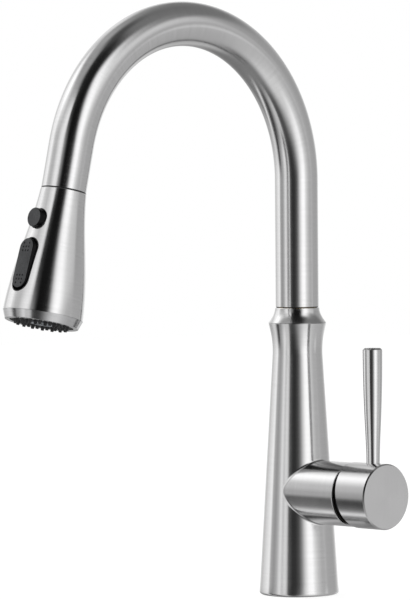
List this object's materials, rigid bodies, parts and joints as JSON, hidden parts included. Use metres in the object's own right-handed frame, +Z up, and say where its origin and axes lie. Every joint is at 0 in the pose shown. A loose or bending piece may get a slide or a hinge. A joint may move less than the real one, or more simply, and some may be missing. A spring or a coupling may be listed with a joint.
{
  "type": "pull-down kitchen faucet",
  "caption": "Single-lever pull-down kitchen faucet with a tapered column, a high arched swivel spout and a flared spray head with a pause button and a spray rocker.",
  "frame": {"origin": "centre of the column base in the plane of the deck surface", "axes": "+Z up along the column, the spout reaches towards -Y, the handle is on the +X side"},
  "size_m": [0.1078, 0.2727, 0.4414],
  "materials": {
    "brushed_steel": "fine brushed stainless steel",
    "bezel_steel": "turned satin steel",
    "spring_steel": "plain steel",
    "brass": "machined brass",
    "black_plastic": "moulded satin black",
    "button_plastic": "moulded matt dark grey",
    "grey_plastic": "moulded grey",
    "white_plastic": "moulded natural acetal",
    "rubber": "black rubber",
    "ceramic": "lapped alumina",
    "hose_braid": "black nylon braid"
  },
  "bodies": {
    "faucet_body": {"body_column": "brushed_steel", "neck_collar": "brushed_steel", "base_seal": "rubber", "mounting_shank": "brass", "hose_guide": "white_plastic", "deck_gasket": "rubber", "deck_washer": "spring_steel", "mounting_nut": "brass", "clamp_screws": "spring_steel", "valve_manifold": "brass", "upper_glide": "white_plastic", "cartridge_body": "grey_plastic", "cartridge_seals": "rubber", "fixed_disc": "ceramic", "retaining_nut": "brass", "bonnet_ring": "black_plastic"},
    "rotor": {"cartridge_rotor": "white_plastic", "rotor_pin": "spring_steel"},
    "valve_disc": {"moving_disc": "ceramic", "disc_carrier": "grey_plastic"},
    "handle": {"valve_spindle": "spring_steel", "handle_cap": "brushed_steel", "lever_rod": "brushed_steel", "handle_screw": "spring_steel", "cap_plug": "black_plastic"},
    "spout": {"spout_tube": "brushed_steel", "spout_spigot": "brass", "lower_glide": "white_plastic", "retaining_clip": "spring_steel", "swivel_washer": "black_plastic", "spout_dock": "black_plastic"},
    "hose_end": {"pullout_hose": "hose_braid", "hose_ferrule": "spring_steel", "hose_tail": "brass"},
    "spray_head": {"hose_nut": "brass", "head_shell": "brushed_steel", "inlet_neck": "brass", "inlet_washer": "rubber", "check_valve": "white_plastic", "waterway_core": "grey_plastic", "button_sleeve": "black_plastic", "rocker_frame": "black_plastic", "rocker_pin": "spring_steel", "button_spring": "spring_steel", "spray_former": "grey_plastic", "former_seal": "rubber", "nozzle_mat": "rubber", "stream_insert": "grey_plastic", "face_ring": "bezel_steel"},
    "pause_button": {"pause_button": "button_plastic", "pause_plunger": "spring_steel", "plunger_ring": "rubber"},
    "mode_rocker": {"mode_rocker": "button_plastic"},
    "diverter": {"diverter_spool": "white_plastic", "spool_rings": "rubber"}
  },
  "joints": [
    {"name": "spout_swivel", "type": "hinge", "parent": "faucet_body", "child": "spout", "pos_m": [0, 0, 0.186], "axis": [0, 0, 1], "continuous": true},
    {"name": "head_pull", "type": "slide", "parent": "spout", "child": "hose_end", "axis": [0, -0.23, -0.9732], "range_m": [0, 0.175], "stiffness_N_per_m": 12, "springref_m": -0.5, "deforming": ["pullout_hose"]},
    {"name": "head_turn", "type": "hinge", "parent": "hose_end", "child": "spray_head", "pos_m": [0, -0.20181, 0.26273], "axis": [0, -0.23, -0.9732], "continuous": true},
    {"name": "pause_press", "type": "slide", "parent": "spray_head", "child": "pause_button", "axis": [0, 0.9732, -0.23], "range_m": [0, 0.002], "stiffness_N_per_m": 400, "springref_m": -0.001, "deforming": ["button_spring"]},
    {"name": "rocker_tip", "type": "hinge", "parent": "spray_head", "child": "mode_rocker", "pos_m": [0, -0.22934, 0.21801], "axis": [-1, 0, 0], "range_deg": [0, 6]},
    {"name": "spool_slide", "type": "slide", "parent": "spray_head", "child": "diverter", "axis": [0, -0.23, -0.9732], "range_m": [0, 0.00055]},
    {"name": "handle_turn", "type": "hinge", "parent": "faucet_body", "child": "rotor", "pos_m": [0.042, 0, 0.0669], "axis": [1, 0, 0], "range_deg": [-45, 45]},
    {"name": "handle_lift", "type": "hinge", "parent": "rotor", "child": "handle", "pos_m": [0.042, 0, 0.0669], "axis": [0, 1, 0], "range_deg": [0, 20]},
    {"name": "disc_slide", "type": "slide", "parent": "rotor", "child": "valve_disc", "axis": [0, 0, 1], "range_m": [0, 0.0046]}
  ],
  "couplings": [
    {"joint": "spool_slide", "follows": "rocker_tip", "m_per_rad": 0.0052},
    {"joint": "disc_slide", "follows": "handle_lift", "m_per_rad": 0.013}
  ]
}
